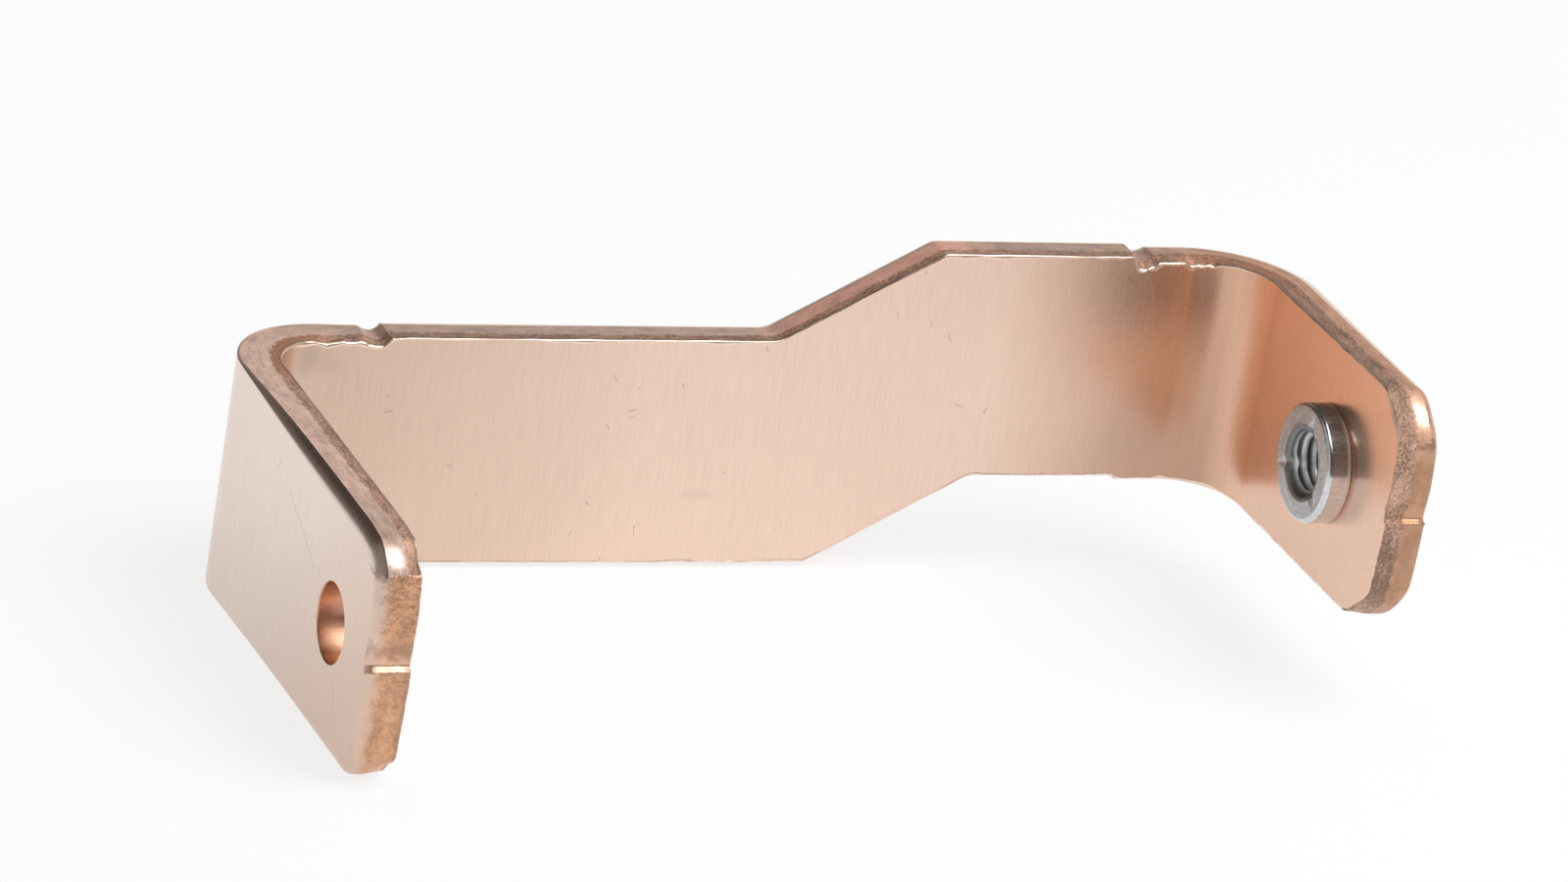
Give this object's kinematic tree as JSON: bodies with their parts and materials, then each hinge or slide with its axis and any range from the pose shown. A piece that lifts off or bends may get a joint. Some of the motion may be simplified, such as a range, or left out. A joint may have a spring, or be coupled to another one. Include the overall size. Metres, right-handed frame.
{
  "type": "copper busbar",
  "caption": "Flat copper busbar folded into a U and stepped in its own plane, with a bolt hole in the long tab and a clinched press nut in the short one, to link screw terminals.",
  "frame": {"origin": "centre of the bolt hole on the long tab's outer face", "axes": "+X along the web from the long tab to the short tab, +Y from the tabs' ends to the web, +Z across the strip's width"},
  "size_m": [0.103, 0.0505, 0.0309],
  "materials": {
    "copper": "bare half-hard copper, fine rolled grain on the faces, torn and burnished sheared edges",
    "zinc_plated_steel": "bright zinc plate over turned steel"
  },
  "bodies": {
    "root": {"busbar_strip": "copper", "press_nut": "zinc_plated_steel"}
  },
  "joints": []
}
